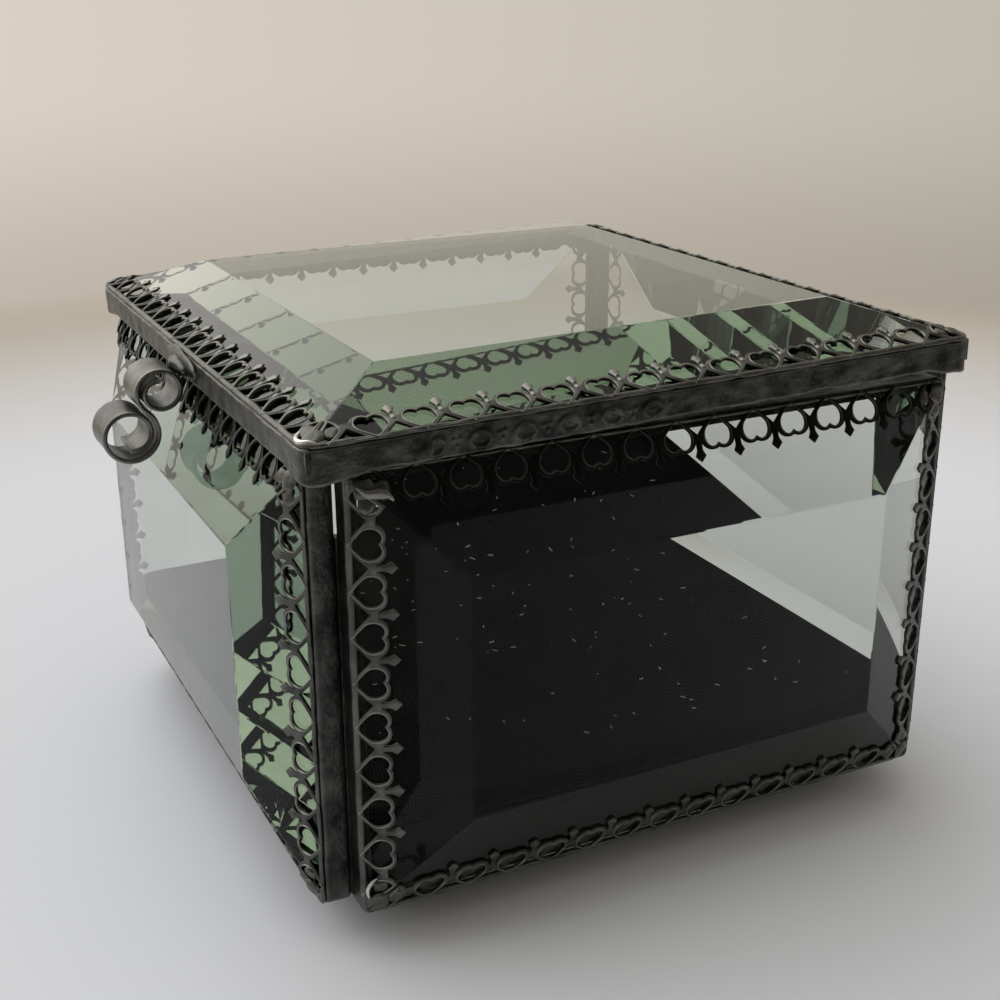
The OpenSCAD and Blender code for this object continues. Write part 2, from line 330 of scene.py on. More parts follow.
def patina_metal(name, hollow, worn, roughness, blotch, rub, grain_mm, bump_mm):
    """Tin solder under a grey-black patina: blotched, dull in the hollows, brighter where hands rub it."""
    material, tree = new_material(name)
    where = add(tree, "TexCoord").outputs["Object"]
    cloud = add(
        tree, "TexNoise", inputs={"Scale": 1 / BLOTCH, "Detail": 5.0, "Roughness": 0.65},
        links={"Vector": where},
    )
    grain = add(
        tree, "TexNoise", inputs={"Scale": 1 / (grain_mm * MM), "Detail": 3.0, "Roughness": 0.6},
        links={"Vector": where},
    )
    shape = add(tree, "NewGeometry")
    edge = add(
        tree, "MapRange", inputs={"From Min": 0.505, "From Max": 0.57, "To Max": rub},
        links={"Value": shape.outputs["Pointiness"]},
    )
    patch = add(
        tree, "MapRange", inputs={"From Min": 0.35, "From Max": 0.75, "To Max": blotch},
        links={"Value": cloud.outputs["Fac"]},
    )
    pale = add(
        tree, "Math", {"operation": "ADD", "use_clamp": True},
        links={0: edge.outputs["Result"], 1: patch.outputs["Result"]},
    )
    tone = add(
        tree, "Mix", {"data_type": "RGBA"}, inputs={"A": linear(hollow), "B": linear(worn)},
        links={"Factor": pale.outputs[0]},
    )
    rough = add(
        tree, "MapRange", inputs={"To Min": roughness - 0.1, "To Max": roughness + 0.14},
        links={"Value": grain.outputs["Fac"]},
    )
    bump = add(
        tree, "Bump", inputs={"Strength": 0.7, "Distance": bump_mm * MM},
        links={"Height": grain.outputs["Fac"]},
    )
    shader = add(tree, "BsdfPrincipled", inputs={"Metallic": 1.0}, links={
        "Base Color": tone.outputs["Result"],
        "Roughness": rough.outputs["Result"],
        "Normal": bump.outputs["Normal"],
    })
    add(tree, "OutputMaterial", links={"Surface": shader.outputs[0]})
    return material


def pile_cloth(name, deep, brushed, sheen):
    """Black cotton woven with a short pile: darkest seen from above, paler where it is brushed over."""
    material, tree = new_material(name)
    where = add(tree, "TexCoord").outputs["Object"]
    pile = add(tree, "TexNoise", inputs={"Scale": 1 / PILE, "Detail": 2.0}, links={"Vector": where})
    nap = add(
        tree, "TexNoise", inputs={"Scale": 1 / NAP, "Detail": 3.0, "Distortion": 0.8},
        links={"Vector": where},
    )
    tone = add(
        tree, "Mix", {"data_type": "RGBA"}, inputs={"A": linear(deep), "B": linear(brushed)},
        links={"Factor": nap.outputs["Fac"]},
    )
    bump = add(
        tree, "Bump", inputs={"Strength": 0.5, "Distance": 0.12 * MM},
        links={"Height": pile.outputs["Fac"]},
    )
    shader = add(
        tree,
        "BsdfPrincipled",
        inputs={"Roughness": 1.0, "Specular IOR Level": 0.05, "Sheen Weight": sheen, "Sheen Roughness": 0.35},
        links={"Base Color": tone.outputs["Result"], "Normal": bump.outputs["Normal"]},
    )
    add(tree, "OutputMaterial", links={"Surface": shader.outputs[0]})
    return material


def lint_fibre(grey, white):
    """Loose cotton lint: soft white fibres that catch the light on black velvet."""
    material, tree = new_material("cotton_lint")
    where = add(tree, "TexCoord").outputs["Object"]
    shade = add(tree, "TexNoise", inputs={"Scale": 1 / TUFT}, links={"Vector": where})
    tone = add(
        tree, "Mix", {"data_type": "RGBA"}, inputs={"A": linear(grey), "B": linear(white)},
        links={"Factor": shade.outputs["Fac"]},
    )
    shader = add(
        tree, "BsdfPrincipled", inputs={"Roughness": 0.9}, links={"Base Color": tone.outputs["Result"]}
    )
    add(tree, "OutputMaterial", links={"Surface": shader.outputs[0]})
    return material


def melamine_board(table, edge, radius, fade):
    """White melamine board with a fine orange-peel face: matt, with a soft rim that melts into the wall. Its
    colour darkens towards that rim: painted shade where table and wall meet.
    """
    material, tree = new_material("melamine_board")
    where = add(tree, "TexCoord").outputs["Object"]
    away = add(tree, "VectorMath", {"operation": "LENGTH"}, links={"Vector": where})
    # towards its rim the table's colour goes over into the darker edge colour: painted shade where it meets
    # the wall
    near = add(
        tree,
        "MapRange",
        {"interpolation_type": "SMOOTHSTEP"},
        inputs={"From Min": 0.17, "From Max": radius - 0.01},
        links={"Value": away.outputs["Value"]},
    )
    colour = add(
        tree, "Mix", {"data_type": "RGBA"}, inputs={"A": linear(table), "B": linear(edge)},
        links={"Factor": near.outputs["Result"]},
    )
    peel = add(tree, "TexNoise", inputs={"Scale": 1 / PEEL}, links={"Vector": where})
    bump = add(
        tree, "Bump", inputs={"Strength": 0.3, "Distance": 0.02 * MM},
        links={"Height": peel.outputs["Fac"]},
    )
    shader = add(
        tree, "BsdfPrincipled", inputs={"Roughness": 0.75, "Specular IOR Level": 0.1},
        links={"Base Color": colour.outputs["Result"], "Normal": bump.outputs["Normal"]},
    )
    rim = add(
        tree, "MapRange", inputs={"From Min": radius - fade, "From Max": radius},
        links={"Value": away.outputs["Value"]},
    )
    clear = add(tree, "BsdfTransparent")
    both = add(
        tree, "MixShader", links={0: rim.outputs["Result"], 1: shader.outputs[0], 2: clear.outputs[0]}
    )
    add(tree, "OutputMaterial", links={"Surface": both.outputs[0]})
    return material


def metal(kind):
    """The patina finishes, each made once."""
    made = bpy.data.materials.get(kind)
    if made:
        return made
    s = bpy.context.scene.casket_metal
    # colour in the hollows and where worn, roughness, share of pale blotches and of rubbed edges,
    # and the grain's size and depth in mm
    finishes = {
        # flowed solder over foil: smooth lumps, dark
        "solder_patina": (s.hollow, s.worn, 0.34, 0.8, 0.5, 0.9, 0.2),
        # stamped brass lace, tinned and blackened: its straps stay dark
        "strap_patina": (s.hollow, s.worn, 0.36, 0.85, 0.6, 0.3, 0.03),
        # the raised rims and finials of the lace, rubbed pale
        "lace_patina": (s.worn, s.rubbed, 0.3, 0.4, 0.3, 0.25, 0.02),
        # both again, darker, for the row under the lid's overhang: painted shade of the overhang
        "shaded_strap_patina": (s.deep, s.hollow, 0.36, 0.7, 0.5, 0.3, 0.03),
        "shaded_lace_patina": (s.hollow, s.worn, 0.3, 0.2, 0.5, 0.25, 0.02),
        # solder touched up after the patina, still silvery
        "bare_solder": (s.rubbed, s.bare, 0.25, 0.55, 0.8, 0.6, 0.05),
        # rolled strip of the handle: the smoothest
        "ribbon_patina": (s.hollow, s.rubbed, 0.3, 0.45, 0.6, 0.6, 0.02),
    }
    return patina_metal(kind, *finishes[kind])


# ---- settings ----


class CasketCamera(bpy.types.PropertyGroup):
    lens: bpy.props.FloatProperty(name="Lens", description="Focal length in mm", default=52.18)
    azimuth: bpy.props.FloatProperty(
        name="Azimuth", description="Turn from straight ahead", subtype="ANGLE", default=math.radians(63.71)
    )
    elevation: bpy.props.FloatProperty(
        name="Elevation", description="Angle looked down", subtype="ANGLE", default=math.radians(20.05)
    )
    roll: bpy.props.FloatProperty(
        name="Roll", description="Tilt of the horizon", subtype="ANGLE", default=math.radians(-0.29)
    )
    place: bpy.props.FloatVectorProperty(
        name="Place", description="Where the camera stands", unit="LENGTH", default=(0.2315, -0.1145, 0.1404)
    )


class CasketGlass(bpy.types.PropertyGroup):
    ior: bpy.props.FloatProperty(name="IOR", description="Index of refraction of the plates", default=1.52)
    mirror: bpy.props.FloatProperty(
        name="Mirror", description="Strength of the surface reflection", default=0.04
    )
    tint: bpy.props.StringProperty(
        name="Tint", description="Colour the glass lets through, hex", default="d3dfd4"
    )
    depth_tint: bpy.props.FloatProperty(name="Tint depth", description="Absorption per metre", default=32.0)
    arris: bpy.props.FloatProperty(
        name="Arris", description="Width of the softened edges", unit="LENGTH", default=0.2 * MM
    )


class CasketMetal(bpy.types.PropertyGroup):
    # darkest patina, used only for the painted shade on the lace under the lid's overhang
    deep: bpy.props.StringProperty(
        name="Deep", description="Patina no hand has touched, hex", default="151615"
    )
    hollow: bpy.props.StringProperty(
        name="Hollow", description="Patina in the hollows, hex", default="262827"
    )
    worn: bpy.props.StringProperty(name="Worn", description="Patina worn thin, hex", default="686864")
    bare: bpy.props.StringProperty(name="Bare", description="Fresh solder, hex", default="d2d1cc")
    rubbed: bpy.props.StringProperty(name="Rubbed", description="Tin rubbed bare, hex", default="9b9b96")
    strap_edge: bpy.props.FloatProperty(
        name="Strap edge", description="Rounding of the lace's edges", unit="LENGTH", default=0.13 * MM
    )
    rim: bpy.props.FloatProperty(
        name="Heart rim", description="Radius of the wire round each heart", unit="LENGTH", default=0.14 * MM
    )
    rail: bpy.props.FloatProperty(
        name="Rail", description="Radius of the solder rail along the lace", unit="LENGTH", default=0.36 * MM
    )


class CasketVelvet(bpy.types.PropertyGroup):
    deep: bpy.props.StringProperty(name="Deep", description="Pile seen from above, hex", default="050606")
    brushed: bpy.props.StringProperty(name="Brushed", description="Pile brushed over, hex", default="0b0e0f")
    board: bpy.props.StringProperty(name="Board", description="Cloth on the boards, hex", default="121212")
    faded: bpy.props.StringProperty(
        name="Faded", description="Cloth on the boards where it has faded, hex", default="1b1b1b"
    )
    crown: bpy.props.FloatProperty(
        name="Crown", description="Rise of the pad's middle", unit="LENGTH", default=0.8 * MM
    )
    lint: bpy.props.IntProperty(name="Lint", description="Number of loose fibres", default=130)
    lint_grey: bpy.props.StringProperty(
        name="Lint grey", description="Darkest loose fibre, hex", default="8c8c88"
    )
    lint_white: bpy.props.StringProperty(
        name="Lint white", description="Palest loose fibre, hex", default="dcdcd6"
    )


class CasketStage(bpy.types.PropertyGroup):
    table: bpy.props.StringProperty(name="Table", description="Colour of the table, hex", default="dde1ea")
    wall: bpy.props.StringProperty(name="Wall", description="Colour of the wall, hex", default="cdc6b9")
    # darker than table and wall: painted shade where the table meets the wall
    edge: bpy.props.StringProperty(
        name="Edge", description="Colour where table and wall meet, hex", default="b5ada0"
    )
    window: bpy.props.FloatProperty(name="Window", description="Strength of the window's glow", default=1.3)
    room: bpy.props.FloatProperty(name="Room", description="Strength of the room's light", default=1.0)


GROUPS = {
    "casket_camera": CasketCamera,
    "casket_glass": CasketGlass,
    "casket_metal": CasketMetal,
    "casket_velvet": CasketVelvet,
    "casket_stage": CasketStage,
}


# ---- operators ----


class CASKET_OT_camera(bpy.types.Operator):
    """Stand the camera where it sees the handle at the left and the right plate ahead"""

    bl_idname = "casket.camera"
    bl_label = "Camera"

    def execute(self, context):
        s = context.scene.casket_camera
        data = bpy.data.cameras.new("camera")
        data.lens, data.sensor_width = s.lens, 36.0
        data.clip_start = 0.01
        right = Vector((math.cos(s.azimuth), math.sin(s.azimuth), 0))
        level = Vector((-math.sin(s.azimuth), math.cos(s.azimuth), 0))
        ahead = level * math.cos(s.elevation) - Vector((0, 0, math.sin(s.elevation)))
        up = right.cross(ahead)
        tilted = right * math.cos(s.roll) + up * math.sin(s.roll)
        turned = Matrix((tilted, tilted.cross(ahead), -ahead)).transposed().to_4x4()
        context.scene.camera = add_object("camera", data, Matrix.Translation(Vector(s.place)) @ turned)
        return {"FINISHED"}


class CASKET_OT_stage(bpy.types.Operator):
    """Set the table and the light of the room round it"""

    bl_idname = "casket.stage"
    bl_label = "Table and room"

    radius, fade = 0.455, 0.07  # the table and its soft rim
    left = Vector((-0.443, -0.897, 0))  # the window's side of the room
    viewer = Vector((0.897, -0.443, 0))
    window = Vector((-0.57, -0.36, 0.74)).normalized()
    pane = (0.97, 0.98, 1.0, 1)  # daylight
    glass_depth = 32  # bounces in the five thick plates
    horizon = (-0.21, -0.06)  # heights between which the table's far rim goes over into the wall; below them the wall takes the darker edge colour, painted shade at its foot
    contrast = 0.42  # share by which the walls are brighter on the window's side, darker on the other
    behind = (-0.1, 0.6)  # where the wall behind the viewer begins, and where it is full
    held_back = (0.75, 0.25)  # strength of that wall: as light on the object, and in metal and glass
    opening = (0.55, 0.95)  # where the window's glow begins, and where it is full
    faint = 0.12  # strength of the window where it is seen through a plate

    def execute(self, context):
        s = context.scene.casket_stage
        scene = context.scene
        scene.view_settings.view_transform = "Standard"
        scene.cycles.max_bounces = self.glass_depth
        scene.cycles.transmission_bounces = self.glass_depth
        scene.cycles.glossy_bounces = self.glass_depth // 2
        scene.cycles.use_denoising = True
        bm = bmesh.new()
        bmesh.ops.create_circle(bm, cap_ends=True, radius=self.radius, segments=96)
        mesh = bpy.data.meshes.new("table")
        bm.to_mesh(mesh)
        bm.free()
        floor = add_object("table", mesh)
        dress(floor, melamine_board(s.table, s.edge, self.radius, self.fade))
        scene.world = bpy.data.worlds.new("room")
        scene.world.use_nodes = True
        scene.world.node_tree.nodes.clear()
        self.room(scene.world.node_tree, s)
        return {"FINISHED"}

    def room(self, tree, s):
        """Painted walls with a wide window."""
        where = add(tree, "TexCoord").outputs["Generated"]
        path = add(tree, "LightPath")
        # 1 where the room is seen, by itself or in metal and glass, and 0 where it lights a matt surface
        seen = add(
            tree, "Math", {"operation": "LESS_THAN"}, {1: 0.5}, {0: path.outputs["Diffuse Depth"]}
        ).outputs[0]
        walls = self.walls(tree, s, where, path, seen)
        daylight = self.daylight(tree, s, where, path, seen)
        both = add(tree, "AddShader", links={0: walls.outputs[0], 1: daylight.outputs[0]})
        add(tree, "OutputWorld", links={"Surface": both.outputs[0]})

    def walls(self, tree, s, where, path, seen):
        """Matt paint, brighter on the window's side and darker behind the viewer, with painted shade at its
        foot where the table meets it.
        """
        height = add(tree, "SeparateXYZ", links={"Vector": where})
        rise = add(
            tree, "MapRange", {"interpolation_type": "SMOOTHSTEP"},
            inputs={"From Min": self.horizon[0], "From Max": self.horizon[1]},
            links={"Value": height.outputs["Z"]},
        )
        # below the horizon the wall takes the darker edge colour: painted shade at its foot
        paint = add(
            tree, "Mix", {"data_type": "RGBA"}, inputs={"A": linear(s.edge), "B": linear(s.wall)},
            links={"Factor": rise.outputs["Result"]},
        )
        left = add(tree, "VectorMath", {"operation": "DOT_PRODUCT"}, {1: self.left}, {0: where})
        low, high = (1 - self.contrast) * s.room, (1 + self.contrast) * s.room
        side = add(
            tree, "MapRange", inputs={"From Min": -1.0, "To Min": low, "To Max": high},
            links={"Value": left.outputs["Value"]},
        )
        # the wall behind the viewer is held back as light and in metal and glass,
        # but looks like the others when it is seen itself
        viewer = add(tree, "VectorMath", {"operation": "DOT_PRODUCT"}, {1: self.viewer}, {0: where})
        as_light, as_mirrored = self.held_back
        dim = add(tree, "MapRange", inputs={"To Min": as_light, "To Max": as_mirrored}, links={"Value": seen})
        plain = add(
            tree, "Math", {"operation": "MAXIMUM"},
            links={0: dim.outputs["Result"], 1: path.outputs["Is Camera Ray"]},
        )
        behind = add(
            tree, "MapRange",
            inputs={"From Min": self.behind[0], "From Max": self.behind[1], "To Min": 1.0},
            links={"Value": viewer.outputs["Value"], "To Max": plain.outputs[0]},
        )
        level = add(
            tree, "Math", {"operation": "MULTIPLY"},
            links={0: side.outputs["Result"], 1: behind.outputs["Result"]},
        )
        return add(
            tree, "Background", links={"Color": paint.outputs["Result"], "Strength": level.outputs[0]}
        )

    def daylight(self, tree, s, where, path, seen):
        """A wide window: it lights the object in full, and is faint where it is seen through a plate."""
        window = add(tree, "VectorMath", {"operation": "DOT_PRODUCT"}, {1: self.window}, {0: where})
        glow = add(
            tree, "MapRange", {"interpolation_type": "SMOOTHSTEP"},
            inputs={"From Min": self.opening[0], "From Max": self.opening[1], "To Max": s.window},
            links={"Value": window.outputs["Value"]},
        )
        through = add(
            tree, "Math", {"operation": "GREATER_THAN"}, {1: 0.5}, {0: path.outputs["Transmission Depth"]}
        )
        both = add(tree, "Math", {"operation": "MULTIPLY"}, links={0: through.outputs[0], 1: seen})
        soft = add(
            tree, "MapRange", inputs={"To Min": 1.0, "To Max": self.faint}, links={"Value": both.outputs[0]}
        )
        shine = add(
            tree, "Math", {"operation": "MULTIPLY"},
            links={0: glow.outputs["Result"], 1: soft.outputs["Result"]},
        )
        return add(tree, "Background", inputs={"Color": self.pane}, links={"Strength": shine.outputs[0]})


class CASKET_OT_glass(bpy.types.Operator):
    """Make the five plates of polished float glass with softened edges"""

    bl_idname = "casket.glass"
    bl_label = "Bevelled glass"

    def execute(self, context):
        s = context.scene.casket_glass
        glass = float_glass()
        for plate in PLATES.values():
            node = plate.name + "_glass"
            bm = bmesh.new()
            rounded_copy(bm, node, s.arris, segments=2)
            add_piece(plate.name + "_plate", bm, plate.body, "plate_glass", glass, node, smooth=False)
        return {"FINISHED"}


class CASKET_OT_lace(bpy.types.Operator):
    """Round the straps of the heart lace and raise the rims, the hubs and the finials"""

    bl_idname = "casket.lace"
    bl_label = "Heart lace"

    finial_half, finial_foot, finial_rise = 0.9 * MM, 4.9 * MM, 0.3 * MM
    finial_shoulder, finial_tip = 6.1 * MM, 7.0 * MM
    hub, hub_size_mm = 3.9 * MM, (0.5, 0.65, 0.3)
    narrow, drawn = 0.92, 1.1  # how the stamp changes a heart's width and length
    setback = 0.25 * MM  # of the lace from the banding's rounded corner
    sunk = 0.1 * MM  # depth to which hubs and finials sink into the straps
    wire_step = 0.16 * MM

    def execute(self, context):
        s = context.scene.casket_metal
        for plate in PLATES.values():
            for edge, place in enumerate(LID_EDGES if plate.name == "lid" else PANEL_EDGES):
                node = f"{plate.name}_lace_{place}"
                straps, raised = bmesh.new(), bmesh.new()
                self.strip(straps, raised, s, plate, edge, node)
                self.follow_corners(straps, plate)
                self.follow_corners(raised, plate)
                # the top row, under the lid's overhang, takes the darker patina: painted shade
                shade = "shaded_" if place == "top" else ""
                strap, rim = metal(shade + "strap_patina"), metal(shade + "lace_patina")
                add_piece(f"{plate.name}_hearts_{place}", straps, plate.body, "lace", strap, node, angle=50)
                add_piece(f"{plate.name}_rims_{place}", raised, plate.body, "lace", rim, angle=50)
        return {"FINISHED"}

    def strip(self, straps, raised, s, plate, edge, node):
        """The flat straps of one edge, and what stands up from them."""
        matrix = plate.strip(edge)
        inverse = matrix.inverted()
        mesh = NODES[node].data
        heights = [(inverse @ vertex.co).z for vertex in mesh.vertices]
        low, high = min(heights), max(heights)
        outer, *holes = sorted(self.outlines(mesh, inverse), key=len, reverse=True)
        holes = [self.stamped(hole) if self.is_heart(hole) else hole for hole in holes]
        middle = matrix @ Matrix.Translation((0, 0, (low + high) / 2))
        self.fill(straps, [outer, *holes], middle, high - low, s.strap_edge)
        for hole in holes:
            if self.is_heart(hole):
                self.rim(raised, s, hole, matrix, high)
        for tip in sorted({round(x / MM, 2) for x, y in outer if y > self.finial_tip - 0.05 * MM}):
            self.finial(raised, tip * MM, matrix, high)
            spot = matrix @ Matrix.Translation((tip * MM, self.hub, high - self.sunk))
            lump(raised, spot, self.hub_size_mm, tip, rough=0.1)

    def follow_corners(self, bm, plate):
        """Draws the mitred ends in behind the banding's rounded corners."""
        matrix, inverse = plate.matrix(), plate.matrix().inverted()
        radius = plate.corner
        for vertex in bm.verts:
            here = inverse @ vertex.co
            past = Vector((abs(here.x) - plate.half_u + radius, abs(here.y) - plate.half_v + radius))
            if min(past) > 0 and past.length > radius - self.setback:
                past *= (radius - self.setback) / past.length
                here.x = math.copysign(plate.half_u - radius + past.x, here.x)
                here.y = math.copysign(plate.half_v - radius + past.y, here.y)
                vertex.co = matrix @ here

    def is_heart(self, loop):
        """A heart's hole is drawn with many points, a triangle's with few."""
        return len(loop) > 12

    def stamped(self, loop):
        """The hole as the stamp leaves it: narrower, with its point drawn out towards the rail."""
        middle = (min(p[0] for p in loop) + max(p[0] for p in loop)) / 2
        lobes = max(p[1] for p in loop)
        return [(middle + (x - middle) * self.narrow, lobes - (lobes - y) * self.drawn) for x, y in loop]

    def outlines(self, mesh, inverse):
        """Closed outlines, in the strip's own plane, of the faces that look off the glass."""
        off = (inverse.to_3x3().inverted() @ Vector((0, 0, 1))).normalized()
        grid = 0.001 * MM
        edges = set()
        for face in mesh.polygons:
            if face.normal.dot(off) < 0.999:
                continue
            keys = [tuple(round(c / grid) for c in mesh.vertices[i].co) for i in face.vertices]
            for pair in zip(keys, keys[1:] + keys[:1]):
                if pair[::-1] in edges:
                    edges.remove(pair[::-1])
                else:
                    edges.add(pair)
        after = dict(edges)
        loops = []
        while after:
            key = min(after)
            loop = []
            while key in after:
                point = inverse @ (Vector(key) * grid)
                loop.append((point.x, point.y))
                key = after.pop(key)
            loops.append(loop)
        return loops

    def fill(self, bm, loops, matrix, thick, edge):
        """A flat strip of the outlines' shape with rounded edges, worked out in mm."""
        curve = bpy.data.curves.new("strip", "CURVE")
        curve.dimensions, curve.fill_mode = "2D", "BOTH"
        curve.extrude = (thick / 2 - edge) / MM
        curve.bevel_depth, curve.bevel_resolution, curve.offset = edge / MM, 1, -edge / MM
        for loop in loops:
            spline = curve.splines.new("POLY")
            spline.points.add(len(loop) - 1)
            for point, (x, y) in zip(spline.points, loop):
                point.co = (x / MM, y / MM, 0, 1)
            spline.use_cyclic_u = True
        holder = add_object("strip", curve)
        solid = bpy.data.meshes.new_from_object(holder.evaluated_get(bpy.context.evaluated_depsgraph_get()))
        solid.transform(matrix @ Matrix.Scale(MM, 4))
        bm.from_mesh(solid)
        bpy.data.objects.remove(holder)
        bpy.data.curves.remove(curve)
        bpy.data.meshes.remove(solid)

    def rim(self, bm, s, loop, matrix, high):
        """A wire round one heart, just outside its hole."""
        points = []
        for i, here in enumerate(loop):
            back, front = loop[i - 1], loop[(i + 1) % len(loop)]
            along = Vector((front[0] - back[0], front[1] - back[1])).normalized()
            point = Vector(here) - Vector((along.y, -along.x)) * s.rim
            if not points or (point - points[-1]).length > self.wire_step:
                points.append(point)
        raised = [matrix @ Vector((p.x, p.y, high - 0.02 * MM)) for p in points]
        up = (matrix.to_3x3() @ Vector((0, 0, 1))).normalized()
        sweep(bm, raised, up, lambda i, p: disc(s.rim, 6), closed=True)

    def finial(self, bm, x, matrix, high):
        """A raised kite on a finial: a ridge up its middle, falling to its edges."""
        half, neck_at = self.finial_half, self.finial_shoulder - self.finial_half
        side = ((0.45 * half, self.finial_foot), (0.5 * half, neck_at), (0.92 * half, self.finial_shoulder))
        outline = [(x + out, y) for out, y in side]
        outline.append((x, self.finial_tip - 0.12 * MM))
        outline += [(x - out, y) for out, y in side[::-1]]
        edge = [bm.verts.new(matrix @ Vector((px, py, high - self.sunk / 2))) for px, py in outline]
        foot, neck, head = [
            bm.verts.new(matrix @ Vector((x, y, high + self.finial_rise * share)))
            for y, share in (
                (self.finial_foot + 0.1 * MM, 0.6), (neck_at, 0.5), (self.finial_shoulder - 0.1 * MM, 1)
            )
        ]
        right_foot, right_neck, right, tip, left, left_neck, left_foot = edge
        for corners in (
            (left_foot, right_foot, foot),
            (right_foot, right_neck, neck, foot),
            (right_neck, right, head, neck),
            (right, tip, head),
            (tip, left, head),
            (left, left_neck, neck, head),
            (left_neck, left_foot, foot, neck),
            edge[::-1],
        ):
            bm.faces.new(corners)


class CASKET_OT_banding(bpy.types.Operator):
    """Flow solder over the banding of each plate, with a rail along the lace"""

    bl_idname = "casket.banding"
    bl_label = "Soldered banding"

    foil, wall = 3.2 * MM, 0.45 * MM
    # stamped ovals on the lid's right-hand edge: their places and radii, and the seam before the first
    ovals = [(-38.4 + 6.95 * k) * MM for k in range(6)]
    oval_half = (1.55 * MM, 1.0 * MM)
    seam = -38.6 * MM
    # the three dots between two ovals: places from their middle and radius, in mm
    dots, dot_mm, dots_at = ((-0.5, 0.35), (0.45, 0.45), (0.05, -0.45)), 0.27, 3.45
    stamped = 0.3  # height of ovals and dots, in mm
    # size of a drop in mm, its distance from the corner and its sideways shift
    puddles = (((1.7, 1.7, 0.4), 2.3, 0), ((1.5, 1.3, 0.4), 3.6, 1.0), ((1.3, 1.5, 0.4), 3.6, -1.0))
    # a bent leaf: place from the corner, half width and lift above the bevel, in mm
    leaf_rows = (
        (1.0, 1.9, 0.12, 1.0),
        (2.3, 3.0, 0.55, 0.6),
        (4.2, 3.1, 0.8, 0.4),
        (5.4, 3.4, 0.6, 0.2),
        (6.2, 4.2, 0.3, 0),
    )
    # solder that hangs from the lid's corners: how far, over what length and share of the edge's height
    hang, hang_reach, hang_share = 1.3 * MM, 9.0 * MM, 0.6

    def execute(self, context):
        s = context.scene.casket_metal
        solder = metal("solder_patina")
        for seed, plate in enumerate(PLATES.values()):
            bm = bmesh.new()
            self.wrap(bm, plate, seed)
            name, node = plate.name + "_solder", plate.name + "_band"
            add_piece(name, bm, plate.body, "banding", solder, node, angle=60)
            bm = bmesh.new()
            self.rail(bm, s, plate, seed)
            self.corners(bm, plate, seed)
            add_piece(plate.name + "_rail", bm, plate.body, "solder", solder, angle=60)
        self.touches()
        return {"FINISHED"}

    def wrap(self, bm, plate, seed):
        """Banding folded round the rim of a plate, with solder flowed over its outside."""
        lid = plate.name == "lid"
        top = plate.rim - 0.2 * MM
        steps = 14 if lid else 8
        web = [(0.0, (0.35 + k / steps * (top / MM - 0.6)) * MM, 1.0) for k in range(steps + 1)]
        profile = [
            (self.foil, 0.4 * MM, 0), (self.foil, 0.08 * MM, 0), (self.foil - 0.1 * MM, 0, 0),
            (1.5 * MM, 0, 0), (0.35 * MM, 0, 0), (0.1 * MM, 0.1 * MM, 0.3), *web,
            (0.15 * MM, top, 0.3), (self.wall, top, 0), (self.wall, self.wall, 0),
        ]

        def swell(point, out):
            wave = 0.12 * wander(point, 7, seed) + 0.07 * wander(point, 1.8, seed + 3)
            if lid:
                wave += self.relief(point, out, top)
            return (0.02 + wave) * MM

        fine = (1, self.seam - 2 * MM, self.ovals[-1] + 4 * MM, 0.22 * MM) if lid else None
        places = stations(plate.half_u, plate.half_v, plate.corner, 1.1 * MM, fine=fine)
        ring(bm, plate, places, profile, swell)
        if lid:
            self.hang_corners(bm, plate, top)

    def touches(self):
        """Fresh solder at the lid's front corner and the right panel's lower one, and the bent leaf."""
        lid, right = PLATES["lid"], PLATES["right"]
        bm = bmesh.new()
        centre = Vector((lid.half_u - 3.1 * MM, 2.9 * MM - lid.half_v))
        self.arc(bm, lid, centre, 2.55 * MM, (-165, -15), 0.3 * MM)
        add_piece("touched_up_lid", bm, "lid", "solder", metal("bare_solder"), angle=60)
        bm = bmesh.new()
        centre = Vector((3.4 * MM - right.half_u, 4.0 * MM - right.half_v))
        self.arc(bm, right, centre, 2.7 * MM, (120, 215), 0.26 * MM)
        add_piece("touched_up_right", bm, "box", "solder", metal("bare_solder"), angle=60)
        bm = bmesh.new()
        self.leaf(bm, right)
        add_piece("bent_leaf", bm, "box", "lace", metal("lace_patina"), angle=60)

    def arc(self, bm, plate, centre, reach, turn, thick):
        """A drawn-out drop of solder along an arc on a plate's bevel, thick in the middle."""
        steps = 24
        points = []
        for k in range(steps + 1):
            a = math.radians(turn[0] + (turn[1] - turn[0]) * k / steps)
            flat = centre + reach * Vector((math.cos(a), math.sin(a)))
            inset = min(plate.half_u - abs(flat.x), plate.half_v - abs(flat.y))
            height = plate.rim + 0.45 * MM + inset * plate.slope
            points.append(plate.matrix() @ Vector((flat.x, flat.y, height)))
        sweep(bm, points, plate.n, lambda i, p: disc(thick * (0.35 + math.sin(math.pi * i / steps)), 8))

    def leaf(self, bm, plate):
        """A finial bent up where the lace was cut short for the corner."""
        rows = []
        for u, v, half, lift in self.leaf_rows:
            height = plate.rim + (0.5 + lift) * MM + min(u, v) * MM * plate.slope
            spot = Vector((u * MM - plate.half_u, plate.half_v - v * MM, height))
            rows.append([
                bm.verts.new(plate.matrix() @ (spot + Vector((0, across, over)) * MM))
                for across, over in ((half, 0), (0, 0.25), (-half, 0), (0, -0.25))
            ])
        rings_to_faces(bm, rows, False)
        bm.faces.new(rows[0])
        bm.faces.new(rows[-1])

